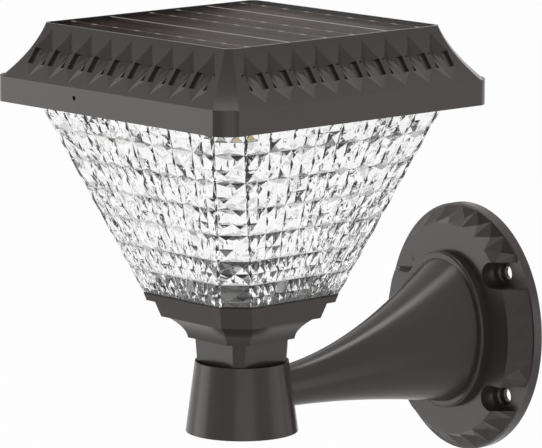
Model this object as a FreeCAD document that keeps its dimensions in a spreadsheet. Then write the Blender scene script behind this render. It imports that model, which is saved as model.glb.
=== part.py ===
"""Wall-mounted solar fence light: oval wall plate, trumpet arm, socket cup, lamp head and solar cap.

Frame: origin on the wall, at the centre of the wall plate's back face. +Y points into the wall,
X runs along the wall and Z points up. The lamp stands in front of the wall, on the -Y side.
All lengths are millimetres.
"""
import FreeCAD, Part

import math
import operator
import os
from types import SimpleNamespace

import Sketcher

Vector = FreeCAD.Vector

# Driving dimensions
sizes = {
    # Wall plate, an oval rose
    "reach": 147.0,
    "plate_half_width": 50.3,
    "plate_half_height": 60.4,
    "plate_rim": 5.1,
    "plate_thickness": 14.6,
    "band_width": 8.2,
    "band_height": 8.4,
    "facet_margin": 1.0,
    "facet_sink": 2.2,
    "facet_count": 32,
    "screw_spacing_x": 60.0,
    "screw_spacing_z": 60.0,
    "screw_hole_r": 3.25,
    "screw_seat_r": 4.6,
    "screw_floor": 2.2,
    "screw_slot_r": 6.3,
    "plate_hollow_half_width": 29.0,
    "plate_hollow_half_height": 43.0,
    "plate_wall": 3.4,
    # Arm, a flared trumpet with an oval collar
    "collar_step": 3.4,
    "collar_thickness": 5.0,
    "collar_round": 1.2,
    "bell_half_width": 26.0,
    "bell_half_height": 35.0,
    "arm_root_top": -4.8,
    "arm_root_bottom": -23.9,
    "arm_root_half_width": 8.4,
    "arm_root_offset": 17.0,
    "arm_flare_power": 1.85,
    "arm_screw_x": 12.0,
    "arm_screw_z": 20.0,
    "arm_screw_r": 2.0,
    "arm_screw_length": 14.0,
    "arm_screw_head_r": 3.8,
    "arm_screw_head": 2.6,
    "thread_gap": 0.04,
    # Socket cup
    "cup_top": 1.8,
    "cup_height": 33.2,
    "cup_lip": 0.7,
    "cup_flare": 4.35,
    "plug_gap": 0.32,
    "plug_depth": 23.3,
    "cup_web": 3.0,
    "cup_skirt_wall": 2.6,
    "cup_drain_r": 6.0,
    "cup_screw_r": 2.5,
    "cup_screw_length": 20.0,
    "cup_screw_head_r": 4.4,
    "cup_screw_head": 2.4,
    "cup_screw_sink": 1.2,
    # Neck plug, a square tube with cut corners
    "neck_reveal": 11.4,
    "neck_half": 17.4,
    "neck_corner": 4.3,
    "neck_taper": 0.062,
    "neck_corner_taper": 0.02,
    "neck_wall": 2.6,
    "neck_web": 4.0,
    # Base pan
    "foot_step": 3.8,
    "pan_foot_corner": 7.3,
    "cove_height": 10.2,
    "cove_bulge": 1.55,
    "cove_step": 1.8,
    "taper_run": 2.3,
    "taper_height": 7.6,
    "lip_step": 2.5,
    "lip_run": 0.9,
    "lip_height": 3.2,
    "lip_setback": 0.2,
    "pan_corner": 10.2,
    "pan_wall": 2.4,
    "pan_floor": 2.6,
    "slip_gap": 0.3,
    "upstand_height": 3.6,
    "upstand_wall": 2.0,
    "foot_seal": 0.8,
    "foot_plate": 0.8,
    # Lens, an upturned pyramid with cut corners
    "lens_bottom_half": 37.2,
    "lens_top_half": 71.3,
    "lens_height": 89.6,
    "lens_corner": 10.6,
    "lens_wall": 2.5,
    "lens_row_step": 0.3,
    "lens_relief": 1.0,
    "rim_seal": 1.0,
    # Hub and bolt that clamp the neck to the pan
    "hub_r": 14.0,
    "hub_top_r": 6.5,
    "hub_rim": 2.5,
    "hub_height": 8.0,
    "bolt_r": 2.5,
    "bolt_head_r": 4.6,
    "bolt_head": 3.2,
    "nut_r": 4.6,
    "nut_height": 4.0,
    # Cap: roof shell with concave sides and an upright skirt
    "eave_overhang": 11.2,
    "skirt_height": 11.8,
    "skirt_corner": 8.2,
    "skirt_corner_bulge": 1.3,
    "eave_step": 0.4,
    "roof_inset": 17.0,
    "roof_top_corner": 2.5,
    "roof_height": 24.5,
    "roof_sag": 1.7,
    "roof_wall": 2.5,
    "flare_wall": 5.4,
    "leaf_pitch": 14.2,
    "leaf_half_width": 6.2,
    "leaf_tip_drop": 2.2,
    "leaf_shoulder_drop": 10.8,
    "leaf_waist_drop": 17.6,
    "leaf_point_drop": 23.2,
    "leaf_depth": 3.0,
    "leaf_stem_half": 2.8,
    "leaf_slot_depth": 3.2,
    "tray_recess": 2.2,
    "tray_thickness": 2.2,
    "tray_rib_height": 3.0,
    "tray_rib_wall": 1.8,
    "cap_screw_gap": 0.4,
    "cap_screw_offset": 40.0,
    "cap_screw_r": 1.5,
    "cap_screw_length": 9.0,
    "cap_screw_head_r": 2.8,
    "cap_screw_head": 1.8,
    "boss_wall": 2.0,
    "boss_height": 13.0,
    "edge_seal_width": 1.2,
    "edge_seal_height": 0.9,
    "pinhole_r": 1.1,
    "pinhole_x": -21.5,
    "pinhole_drop": 4.7,
    "pipe_recess": 1.2,
    "pipe_head_r": 1.5,
    "pipe_head": 3.0,
    # Solar panel, let into the top of the roof
    "panel_recess": 3.7,
    "panel_rim": 1.2,
    "panel_shelf": 2.4,
    "panel_window": 16.0,
    "backsheet_thickness": 1.2,
    "cell_thickness": 0.3,
    "cell_gap": 1.0,
    "cell_margin": 1.4,
    "cell_line_front": -26.0,
    "cell_line_back": 34.0,
    "ribbon_front": -50.5,
    "ribbon_mid_front": -3.0,
    "ribbon_mid_back": 13.5,
    "ribbon_back": 54.0,
    "ribbon_width": 1.0,
    "ribbon_thickness": 0.15,
    "glass_sunk": 0.2,
    # Light source below the tray
    "reflector_thickness": 1.0,
    "led_board_half": 34.0,
    "led_board_thickness": 1.2,
    "led_pitch": 12.0,
    "led_length": 3.5,
    "led_width": 2.8,
    "led_height": 0.8,
    # Works above the tray
    "battery_r": 9.2,
    "battery_length": 65.0,
    "battery_back": 30.0,
    "holder_wall": 1.6,
    "holder_end_gap": 1.0,
    "board_length": 60.0,
    "board_width": 42.0,
    "board_thickness": 1.6,
    "board_front": -26.0,
    "standoff_height": 4.0,
    "standoff_r": 3.2,
    "small_screw_r": 1.25,
    "small_screw_length": 5.0,
    "small_screw_head_r": 2.4,
    "small_screw_head": 1.4,
    # Push switch under the eave
    "button_offset": 0.6,
    "switch_width": 10.0,
    "switch_depth": 9.0,
    "switch_height": 6.8,
    "switch_wall": 0.6,
    "button_r": 2.1,
    "button_flange_r": 3.1,
    "button_flange": 1.0,
    "button_proud": 3.0,
    "button_travel": 1.5,
    "button_gap": 0.3,
}

doc = FreeCAD.newDocument("FenceLight")
sheet = doc.addObject("Spreadsheet::Sheet", "Sizes")
for row, (alias, number) in enumerate(sizes.items(), start=1):
    sheet.set(f"A{row}", alias)
    sheet.set(f"B{row}", str(number))
    sheet.setAlias(f"B{row}", alias)
doc.recompute()


class Size:
    """A cell of the sheet or a formula of cells: its number, and the text that is bound to it."""

    def __init__(self, number, text):
        self.number = number
        self.text = text

    def __add__(self, other):
        return formula("+", self, other)

    def __radd__(self, other):
        return formula("+", other, self)

    def __sub__(self, other):
        return formula("-", self, other)

    def __rsub__(self, other):
        return formula("-", other, self)

    def __mul__(self, other):
        return formula("*", self, other)

    def __rmul__(self, other):
        return formula("*", other, self)

    def __truediv__(self, other):
        return formula("/", self, other)

    def __pow__(self, other):
        return formula("^", self, other)

    def __neg__(self):
        return formula("-", 0, self)


actions = {
    "+": operator.add,
    "-": operator.sub,
    "*": operator.mul,
    "/": operator.truediv,
    "^": operator.pow,
}


def as_size(value):
    if isinstance(value, Size):
        return value
    return Size(float(value), f"({float(value)})")


def formula(sign, left, right):
    left, right = as_size(left), as_size(right)
    number = actions[sign](left.number, right.number)
    return Size(number, f"({left.text} {sign} {right.text})")


s = SimpleNamespace(**{alias: Size(number, f"Sizes.{alias}") for alias, number in sizes.items()})


# Heights and places that follow from the driving dimensions
cup_bottom = s.cup_top - s.cup_height
plug_bottom = s.cup_top - s.plug_depth
pan_bottom = s.cup_top + s.neck_reveal
cove_top = pan_bottom + s.cove_height
taper_top = cove_top + s.taper_height
pan_top = taper_top + s.lip_height
floor_bottom = pan_top - s.pan_floor
lens_bottom = pan_top + s.foot_seal
lens_top = lens_bottom + s.lens_height
tray_bottom = lens_top + s.rim_seal
tray_top = tray_bottom + s.tray_thickness
skirt_bottom = tray_bottom - s.tray_recess
skirt_top = skirt_bottom + s.skirt_height
roof_top = skirt_top + s.roof_height
panel_floor = roof_top - s.panel_recess
axis_y = -s.reach

# Half widths that follow from their neighbours
face_half_width = s.plate_half_width - s.band_width
face_half_height = s.plate_half_height - s.band_height
collar_half_width = s.bell_half_width + s.collar_step
collar_half_height = s.bell_half_height + s.collar_step
pan_foot_half = s.neck_half + s.foot_step
lip_half = s.lens_bottom_half - s.lip_setback
lip_bottom_half = lip_half - s.lip_run
taper_top_half = lip_bottom_half - s.lip_step
taper_bottom_half = taper_top_half - s.taper_run
cove_half = taper_bottom_half - s.cove_step
skirt_half = s.lens_top_half + s.eave_overhang
eave_half = skirt_half - s.eave_step
roof_top_half = eave_half - s.roof_inset



# The neck plug narrows downwards, and the cup's bore clears its corners all the way
def neck_half_at(height):
    return s.neck_half + (height - pan_bottom) * s.neck_taper


def neck_corner_at(height):
    return s.neck_corner + (height - pan_bottom) * s.neck_corner_taper


def neck_corner_radius(height):
    half = neck_half_at(height)
    near = half - neck_corner_at(height)
    return (half * half + near * near) ** 0.5


cup_bore_top_r = neck_corner_radius(s.cup_top) + s.plug_gap
cup_bore_bottom_r = neck_corner_radius(plug_bottom) + s.plug_gap
cup_top_r = cup_bore_top_r + s.cup_lip
cup_bottom_r = cup_top_r + s.cup_flare


# Helpers that make the document's objects
def bind(thing, **values):
    """Tie properties to the sheet; an underscore pair in a name stands for a dot."""
    for name, value in values.items():
        thing.setExpression(name.replace("__", "."), as_size(value).text)
    return thing


def at(thing, x=0, y=0, z=0):
    return bind(thing, Placement__Base__x=x, Placement__Base__y=y, Placement__Base__z=z)


def turn(thing, rotation):
    thing.Placement = FreeCAD.Placement(thing.Placement.Base, rotation)
    return thing


ALONG_Y = FreeCAD.Rotation(Vector(1, 0, 0), -90)
TO_WALL_OVAL = FreeCAD.Rotation(Vector(1, 1, 1), 240)


def box(name, length, width, height, x, y, z):
    """A box centred on x and y that stands on z."""
    length, width = as_size(length), as_size(width)
    made = bind(doc.addObject("Part::Box", name), Length=length, Width=width, Height=height)
    return at(made, x - length / 2, y - width / 2, z)


def cylinder(name, radius, height, x, y, z, rotation=None):
    made = doc.addObject("Part::Cylinder", name)
    if rotation:
        turn(made, rotation)
    bind(made, Radius=radius, Height=height)
    return at(made, x, y, z)


def cone(name, bottom_r, top_r, height, x, y, z):
    made = bind(doc.addObject("Part::Cone", name), Radius1=bottom_r, Radius2=top_r, Height=height)
    return at(made, x, y, z)


def prism(name, radius, height, x, y, z):
    """A six-sided prism, for nuts and bolt heads; radius is to its corners."""
    made = doc.addObject("Part::Prism", name)
    made.Polygon = 6
    bind(made, Circumradius=radius, Height=height)
    return at(made, x, y, z)


def oval(name, half_height, half_width, y, z=0):
    """An ellipse in a plane that faces the wall, taller than it is wide."""
    made = doc.addObject("Part::Ellipse", name)
    turn(made, TO_WALL_OVAL)
    bind(made, MajorRadius=half_height, MinorRadius=half_width)
    return at(made, 0, y, z)


def oval_disc(name, half_height, half_width, near_y, thickness):
    """An oval slab that grows from near_y towards the wall."""
    made = doc.addObject("Part::Extrusion", name + "_slab")
    made.Base = oval(name + "_outline", half_height, half_width, near_y)
    made.DirMode = "Custom"
    made.Dir = Vector(0, 1, 0)
    made.Solid = True
    bind(made, LengthFwd=thickness)
    return made


def fuse(name, pieces):
    made = doc.addObject("Part::MultiFuse", name)
    made.Shapes = pieces
    return made


def cut(name, base, tools):
    made = doc.addObject("Part::Cut", name)
    made.Base = base
    made.Tool = tools[0] if len(tools) == 1 else fuse(name + "_tools", tools)
    return made


def group(name, pieces):
    """Separate solids of one kind that share a node."""
    made = doc.addObject("Part::Compound", name)
    made.Links = pieces
    return made


def new_body(name):
    """A body on the lamp's upright axis; its sketches use heights above the frame's origin."""
    return at(doc.addObject("PartDesign::Body", name), 0, axis_y, 0)


def attach(body, sketch, role, height):
    plane = next(item for item in body.Origin.OriginFeatures if item.Role == role)
    sketch.AttachmentSupport = [(plane, "")]
    sketch.MapMode = "FlatFace"
    sketch.setExpression("AttachmentOffset.Base.z", as_size(height).text)


def pin(sketch, edge, end, axis, size):
    """Tie one coordinate of a sketch point to its formula."""
    name = "Distance" + axis
    if abs(size.number) < 1e-6:
        line = -2 if axis == "X" else -1
        sketch.addConstraint(Sketcher.Constraint("PointOnObject", edge, end, line))
        return
    if size.number > 0:
        rule = Sketcher.Constraint(name, -1, 1, edge, end, size.number)
        text = size.text
    else:
        rule = Sketcher.Constraint(name, edge, end, -1, 1, -size.number)
        text = f"-({size.text})"
    index = sketch.addConstraint(rule)
    sketch.setExpression(f"Constraints[{index}]", text)


def outline(body, name, role, height, corners):
    """A closed sketch of straight lines, each corner tied to its formulas."""
    sketch = body.newObject("Sketcher::SketchObject", name)
    attach(body, sketch, role, height)
    corners = [(as_size(x), as_size(y)) for x, y in corners]
    points = [Vector(x.number, y.number, 0) for x, y in corners]
    count = len(points)
    for index, point in enumerate(points):
        sketch.addGeometry(Part.LineSegment(point, points[(index + 1) % count]), False)
    for index in range(count):
        following = (index + 1) % count
        sketch.addConstraint(Sketcher.Constraint("Coincident", index, 2, following, 1))
    for index, (x, y) in enumerate(corners):
        pin(sketch, index, 1, "X", x)
        pin(sketch, index, 1, "Y", y)
    return sketch


def cut_corner_square(half, corner):
    """Corners of a square whose corners are cut off, anticlockwise."""
    half, corner = as_size(half), as_size(corner)
    near = half - corner
    return [(near, -half), (half, -near), (half, near), (near, half),
            (-near, half), (-half, near), (-half, -near), (-near, -half)]


def square_loft(body, name, levels, kind="AdditiveLoft", ruled=False):
    """A loft through cut-corner squares; each level is height, half width, corner cut."""
    sketches = []
    for index, (height, half, corner) in enumerate(levels):
        corners = cut_corner_square(half, corner)
        sketches.append(outline(body, f"{name}_level{index}", "XY_Plane", height, corners))
    loft = body.newObject("PartDesign::" + kind, name)
    loft.Profile = sketches[0]
    loft.Sections = sketches[1:]
    loft.Ruled = ruled
    return loft


def square_ring(name, outer, inner, bottom, height, outer_corner, inner_corner):
    """A flat frame between two cut-corner squares, such as a seal."""
    body = new_body(name)
    top = bottom + height
    square_loft(body, name + "_outer", [(bottom, outer, outer_corner), (top, outer, outer_corner)])
    square_loft(body, name + "_inner", [(bottom, inner, inner_corner), (top, inner, inner_corner)],
                "SubtractiveLoft")
    return body


def lathe(body, name, profile):
    """A turned solid; the profile is given as radius and height."""
    sketch = outline(body, name + "_profile", "XZ_Plane", 0, profile)
    turned = body.newObject("PartDesign::Revolution", name)
    turned.Profile = sketch
    turned.ReferenceAxis = (sketch, ["V_Axis"])
    turned.Angle = 360
    return turned


# The corner cut shrinks by this share of a wall when an outline moves inwards by the wall
CORNER_SHRINK = 2 - math.sqrt(2)


def inner_corner(corner, wall):
    return corner - wall * CORNER_SHRINK


# Forms made of flat facets
def flat_face(*corners):
    return Part.Face(Part.makePolygon([*corners, corners[0]]))


def pyramid_sides(corners, apex):
    """Triangles from each edge of a polygon to one point."""
    return [flat_face(apex, corner, after) for corner, after in zip(corners, corners[1:] + corners[:1])]


def closed_solid(faces):
    solid = Part.Solid(Part.Shell(faces))
    if solid.Volume < 0:
        solid.reverse()
    return solid


def feature(name, shape):
    made = doc.addObject("Part::Feature", name)
    made.Shape = shape
    return made


# Wall plate: a smooth oval rim, a faceted band that rises to a flat face, and four screw slots
def oval_points(half_width, half_height, y, count):
    """Points spaced evenly along an ellipse that faces the wall."""
    ellipse = Part.Ellipse(Vector(0, y, half_height), Vector(half_width, y, 0), Vector(0, y, 0))
    return ellipse.toShape().discretize(Number=count + 1)[:-1]


def facet_band():
    """The raised face with a ring of four-sided pits, as one closed shell of flat facets."""
    count = int(s.facet_count.number)
    rim_y = -s.plate_rim.number
    face_y = -s.plate_thickness.number
    margin = s.facet_margin.number
    foot_half_width = s.plate_half_width.number - margin
    foot_half_height = s.plate_half_height.number - margin
    middle_y = (rim_y + face_y) / 2 + s.facet_sink.number * 0.75
    middle_half_width = (foot_half_width + face_half_width.number - s.facet_sink.number) / 2
    middle_half_height = (foot_half_height + face_half_height.number - s.facet_sink.number) / 2
    face = oval_points(face_half_width.number, face_half_height.number, face_y, count)
    foot = oval_points(foot_half_width, foot_half_height, rim_y, count)
    root = [point + Vector(0, margin, 0) for point in foot]
    pits = oval_points(middle_half_width, middle_half_height, middle_y, count * 2)[1::2]
    faces = [flat_face(*face), flat_face(*root)]
    for index in range(count):
        after = (index + 1) % count
        faces += pyramid_sides([face[index], face[after], foot[after], foot[index]], pits[index])
        faces.append(flat_face(foot[index], foot[after], root[after], root[index]))
    return closed_solid(faces)


band = feature("plate_facets", facet_band())
rim = oval_disc("plate_rim", s.plate_half_height, s.plate_half_width, -s.plate_rim, s.plate_rim)
plate_solid = fuse("plate_solid", [rim, band])
plate_cuts = [oval_disc("plate_hollow", s.plate_hollow_half_height, s.plate_hollow_half_width,
                        s.plate_wall - s.plate_thickness, s.plate_thickness)]
hole_x = s.screw_spacing_x / 2
hole_z = s.screw_spacing_z / 2
for side in (-1, 1):
    for level in (-1, 1):
        tag = f"{'left' if side < 0 else 'right'}_{'low' if level < 0 else 'high'}"
        x, z = hole_x * side, hole_z * level
        plate_cuts.append(cylinder(f"screw_hole_{tag}", s.screw_hole_r, s.plate_thickness * 2,
                                   x, -s.plate_thickness, z, ALONG_Y))
        plate_cuts.append(cylinder(f"screw_seat_{tag}", s.screw_seat_r, s.plate_thickness,
                                   x, -s.screw_floor - s.plate_thickness, z, ALONG_Y))
        plate_cuts.append(cylinder(f"screw_slot_end_{tag}", s.screw_slot_r, s.plate_thickness,
                                   x, -s.plate_rim - s.plate_thickness, z, ALONG_Y))
        slot = box(f"screw_slot_{tag}", s.plate_half_width, s.plate_thickness, s.screw_slot_r * 2,
                   x + s.plate_half_width / 2 * side, -s.plate_rim - s.plate_thickness / 2,
                   z - s.screw_slot_r)
        plate_cuts.append(slot)
arm_holes = [(x, z) for x in (-s.arm_screw_x, s.arm_screw_x) for z in (-s.arm_screw_z, s.arm_screw_z)]
for index, (x, z) in enumerate(arm_holes):
    plate_cuts.append(cylinder(f"plate_arm_hole{index}", s.arm_screw_r + s.thread_gap,
                               s.plate_thickness * 2, x, -s.plate_thickness * 1.5, z, ALONG_Y))
wall_plate = cut("wall_plate", plate_solid, plate_cuts)

# Arm: a trumpet whose oval sections grow along a power curve, with a collar against the plate
ARM_STATIONS = 8
face_y = -s.plate_thickness
bell_y = face_y - s.collar_thickness
root_y = axis_y + s.arm_root_offset
sections = []
for index in range(ARM_STATIONS):
    share = index / (ARM_STATIONS - 1)
    flare = as_size(share) ** s.arm_flare_power if index else as_size(0)
    top = s.arm_root_top + (s.bell_half_height - s.arm_root_top) * flare
    bottom = s.arm_root_bottom - (s.bell_half_height + s.arm_root_bottom) * flare
    half_width = s.arm_root_half_width + (s.bell_half_width - s.arm_root_half_width) * flare
    y = root_y + (bell_y - root_y) * share
    sections.append(oval(f"arm_section{index}", (top - bottom) / 2, half_width, y, (top + bottom) / 2))
trumpet = doc.addObject("Part::Loft", "arm_trumpet")
trumpet.Sections = sections
trumpet.Solid = True
trumpet.Ruled = False
collar_slab = oval_disc("arm_collar", collar_half_height, collar_half_width, bell_y,
                        s.collar_thickness)
doc.recompute()
collar = doc.addObject("Part::Fillet", "arm_collar_round")
collar.Base = collar_slab
front_edges = [number for number, edge in enumerate(collar_slab.Shape.Edges, start=1)
               if abs(edge.BoundBox.YMax - bell_y.number) < 1e-3]
collar.Edges = [(number, s.collar_round.number, s.collar_round.number) for number in front_edges]
arm_solid = fuse("arm_solid", [trumpet, collar])
cup_mass = cone("arm_cup_seat", cup_bottom_r, cup_top_r, s.cup_height, 0, axis_y, cup_bottom)
arm_cuts = [cup_mass]
cup_screw_z = (s.arm_root_top + s.arm_root_bottom) / 2
bore_at_screw = cup_bore_bottom_r + (cup_bore_top_r - cup_bore_bottom_r) * (
    (cup_screw_z - plug_bottom) / s.plug_depth)
cup_screw_y = axis_y + bore_at_screw + s.cup_screw_sink
arm_cuts.append(cylinder("arm_root_hole", s.cup_screw_r + s.thread_gap, s.cup_screw_length,
                         0, cup_screw_y, cup_screw_z, ALONG_Y))
for index, (x, z) in enumerate(arm_holes):
    arm_cuts.append(cylinder(f"arm_pilot{index}", s.arm_screw_r + s.thread_gap, s.arm_screw_length,
                             x, s.plate_wall - s.plate_thickness - s.arm_screw_length, z, ALONG_Y))
bracket_arm = cut("bracket_arm", arm_solid, arm_cuts)

# Screws that hold the arm, driven from inside the plate's hollow
arm_screw_solids = []
for index, (x, z) in enumerate(arm_holes):
    head_y = s.plate_wall - s.plate_thickness
    shank = cylinder(f"arm_screw{index}_shank", s.arm_screw_r, s.arm_screw_length,
                     x, head_y - s.arm_screw_length, z, ALONG_Y)
    head = cylinder(f"arm_screw{index}_head", s.arm_screw_head_r, s.arm_screw_head,
                    x, head_y, z, ALONG_Y)
    arm_screw_solids.append(fuse(f"arm_screw{index}", [shank, head]))
arm_screws = group("arm_screws", arm_screw_solids)

# Socket cup: a tapered ring with a tapered bore, a web with a drain and a hollow foot
cup_body = new_body("cup_turned")
web_bottom = plug_bottom - s.cup_web
web_share = (web_bottom - cup_bottom) / s.cup_height
web_outer_r = cup_bottom_r + (cup_top_r - cup_bottom_r) * web_share
lathe(cup_body, "cup_revolve", [
    (s.cup_drain_r, web_bottom),
    (web_outer_r - s.cup_skirt_wall, web_bottom),
    (cup_bottom_r - s.cup_skirt_wall, cup_bottom),
    (cup_bottom_r, cup_bottom),
    (cup_top_r, s.cup_top),
    (cup_bore_top_r, s.cup_top),
    (cup_bore_bottom_r, plug_bottom),
    (s.cup_drain_r, plug_bottom),
])
cup_cuts = [
    cylinder("cup_side_hole", s.cup_screw_r + s.thread_gap, s.cup_screw_length,
             0, cup_screw_y, cup_screw_z, ALONG_Y),
    cylinder("cup_spot_face", s.cup_screw_head_r + s.slip_gap, cup_bore_bottom_r,
             0, cup_screw_y - cup_bore_bottom_r, cup_screw_z, ALONG_Y),
]
socket_cup = cut("socket_cup", cup_body, cup_cuts)
cup_screw = fuse("cup_screw", [
    cylinder("cup_screw_shank", s.cup_screw_r, s.cup_screw_length, 0, cup_screw_y, cup_screw_z,
             ALONG_Y),
    cylinder("cup_screw_head", s.cup_screw_head_r, s.cup_screw_head,
             0, cup_screw_y - s.cup_screw_head, cup_screw_z, ALONG_Y),
])


# Neck plug: a square tube with cut corners that narrows downwards into the cup
def neck_level(height, wall=0):
    return (height, neck_half_at(height) - wall, neck_corner_at(height) - wall * CORNER_SHRINK)


neck_body = new_body("neck_tube")
square_loft(neck_body, "neck_outer", [neck_level(plug_bottom), neck_level(floor_bottom)])
square_loft(neck_body, "neck_inner", [neck_level(plug_bottom, s.neck_wall),
                                      neck_level(floor_bottom - s.neck_web, s.neck_wall)],
            "SubtractiveLoft")
bolt_bottom = floor_bottom - s.neck_web - s.nut_height - 1
bolt_seat = pan_top + s.hub_height - s.bolt_head
bolt_length = bolt_seat - bolt_bottom
neck_plug = cut("neck_plug", neck_body, [
    cylinder("neck_bolt_hole", s.bolt_r + s.thread_gap, bolt_length, 0, axis_y, bolt_bottom)])

# Base pan: cove, taper and lip outside, hollow inside, with a floor under the lens
pan_body = new_body("pan_shell")
COVE_STEPS = 4
cove_levels = []
for index in range(COVE_STEPS + 1):
    share = index / COVE_STEPS
    half = pan_foot_half + (cove_half - pan_foot_half) * share - s.cove_bulge * (
        4 * share * (1 - share))
    corner = s.pan_foot_corner + (s.pan_corner - s.pan_foot_corner) * share
    cove_levels.append((pan_bottom + s.cove_height * share, half, corner))
square_loft(pan_body, "pan_cove", cove_levels)
square_loft(pan_body, "pan_taper", [(cove_top, taper_bottom_half, s.pan_corner),
                                    (taper_top, taper_top_half, s.pan_corner)])
square_loft(pan_body, "pan_lip", [(taper_top, lip_bottom_half, s.pan_corner),
                                  (pan_top, lip_half, s.pan_corner)])
foot_inner = s.lens_bottom_half - s.lens_wall - s.slip_gap
foot_corner = inner_corner(s.lens_corner, s.lens_wall + s.slip_gap)
square_loft(pan_body, "pan_upstand", [(pan_top, foot_inner, foot_corner),
                                      (pan_top + s.upstand_height, foot_inner, foot_corner)])
upstand_inner = foot_inner - s.upstand_wall
upstand_corner = inner_corner(foot_corner, s.upstand_wall)
square_loft(pan_body, "pan_well", [(pan_top, upstand_inner, upstand_corner),
                                   (pan_top + s.upstand_height, upstand_inner, upstand_corner)],
            "SubtractiveLoft")
hollow_corner = inner_corner(s.pan_corner, s.pan_wall)
square_loft(pan_body, "pan_hollow_low", [
    (pan_bottom + s.pan_wall, neck_half_at(pan_bottom) + s.slip_gap * 2, s.neck_corner),
    (cove_top, cove_half - s.pan_wall - s.cove_bulge, hollow_corner)], "SubtractiveLoft")
square_loft(pan_body, "pan_hollow_high", [
    (cove_top, cove_half - s.pan_wall - s.cove_bulge, hollow_corner),
    (floor_bottom, taper_top_half - s.pan_wall - s.cove_bulge, hollow_corner)], "SubtractiveLoft")
square_loft(pan_body, "pan_mouth", [
    (pan_bottom, neck_half_at(pan_bottom) + s.slip_gap, s.neck_corner),
    (pan_bottom + s.pan_wall, neck_half_at(pan_bottom) + s.slip_gap, s.neck_corner)],
    "SubtractiveLoft")
base_pan = cut("base_pan", pan_body, [
    cylinder("pan_bolt_hole", s.bolt_r + s.thread_gap, bolt_length, 0, axis_y, bolt_bottom)])

# Hub, bolt and nut on the lamp's axis, which clamp the neck to the pan's floor
hub_body = new_body("base_hub")
lathe(hub_body, "hub_revolve", [
    (s.bolt_r + s.thread_gap, pan_top),
    (s.hub_r, pan_top),
    (s.hub_r, pan_top + s.hub_rim),
    (s.hub_top_r, pan_top + s.hub_height),
    (s.bolt_head_r + s.slip_gap, pan_top + s.hub_height),
    (s.bolt_head_r + s.slip_gap, bolt_seat),
    (s.bolt_r + s.thread_gap, bolt_seat),
])
neck_bolt = fuse("neck_bolt", [
    cylinder("neck_bolt_shank", s.bolt_r, bolt_length, 0, axis_y, bolt_bottom),
    prism("neck_bolt_head", s.bolt_head_r, s.bolt_head, 0, axis_y, bolt_seat),
])
nut_bottom = floor_bottom - s.neck_web - s.nut_height
neck_nut = cut("neck_nut", prism("neck_nut_blank", s.nut_r, s.nut_height, 0, axis_y, nut_bottom), [
    cylinder("neck_nut_bore", s.bolt_r + s.thread_gap, s.nut_height, 0, axis_y, nut_bottom)])

# White plate round the hub, which throws the light back up
foot_plate_half = upstand_inner - s.slip_gap
foot_plate_corner = inner_corner(upstand_corner, s.slip_gap)
foot_plate_body = new_body("foot_plate_blank")
square_loft(foot_plate_body, "foot_plate_slab", [
    (pan_top, foot_plate_half, foot_plate_corner),
    (pan_top + s.foot_plate, foot_plate_half, foot_plate_corner)])
foot_reflector = cut("foot_reflector", foot_plate_body, [
    cylinder("foot_plate_hole", s.hub_r + s.slip_gap, s.foot_plate, 0, axis_y, pan_top)])

# Lens: an upturned pyramid with cut corners, smooth inside, with rows of low pyramids outside
LENS_ROWS = 7
LENS_COLUMNS = 8


def lens_ring(height):
    """Points round the lens's outside at one height, with every column's edge."""
    share = (height - lens_bottom.number) / s.lens_height.number
    half = s.lens_bottom_half.number + (s.lens_top_half.number - s.lens_bottom_half.number) * share
    corners = [Vector(x.number, axis_y.number + y.number, height)
               for x, y in cut_corner_square(half, s.lens_corner)]
    points = []
    for index, corner in enumerate(corners):
        after = corners[(index + 1) % len(corners)]
        columns = LENS_COLUMNS if index % 2 else 1
        points += [corner + (after - corner) * (step / columns) for step in range(columns)]
    return points


def lens_facets():
    """The lens's outside as one closed shell, with a low pyramid in each cell of the pattern."""
    height = lens_top.number
    rings = [lens_ring(height)]
    for row in range(LENS_ROWS):
        middle = (LENS_ROWS - 1) / 2
        height -= s.lens_height.number / LENS_ROWS + (middle - row) * s.lens_row_step.number
        rings.append(lens_ring(height))
    faces = [flat_face(*rings[0]), flat_face(*rings[-1])]
    for upper, lower in zip(rings, rings[1:]):
        for index in range(len(upper)):
            after = (index + 1) % len(upper)
            corners = [upper[index], upper[after], lower[after], lower[index]]
            middle = (corners[0] + corners[1] + corners[2] + corners[3]) / 4
            outward = (corners[0] - corners[1]).cross(corners[3] - corners[0]).normalize()
            faces += pyramid_sides(corners, middle + outward * s.lens_relief.number)
    return closed_solid(faces)


lens_inner_corner = inner_corner(s.lens_corner, s.lens_wall)
lens_hollow = new_body("lens_hollow")
square_loft(lens_hollow, "lens_inside", [
    (lens_bottom, s.lens_bottom_half - s.lens_wall, lens_inner_corner),
    (lens_top, s.lens_top_half - s.lens_wall, lens_inner_corner)])
lens = cut("lens", feature("lens_facets", lens_facets()), [lens_hollow])

# Seals at the lens's foot and rim
square_ring("foot_seal_ring", s.lens_bottom_half, foot_inner + s.slip_gap, pan_top, s.foot_seal,
            s.lens_corner, lens_inner_corner)
square_ring("lens_rim_seal", s.lens_top_half, s.lens_top_half - s.lens_wall, lens_top, s.rim_seal,
            s.lens_corner, lens_inner_corner)


# Roof shell: concave lofted sides over an upright skirt
def roof_level(share, wall=0):
    """Height, half width and corner cut at a share of the roof's height."""
    straight = eave_half - (eave_half - roof_top_half) * share
    half = straight - s.roof_sag * (4 * share * (1 - share)) - wall
    corner = s.skirt_corner - (s.skirt_corner - s.roof_top_corner) * share
    return (skirt_top + s.roof_height * share, half, inner_corner(corner, as_size(wall)))


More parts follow.
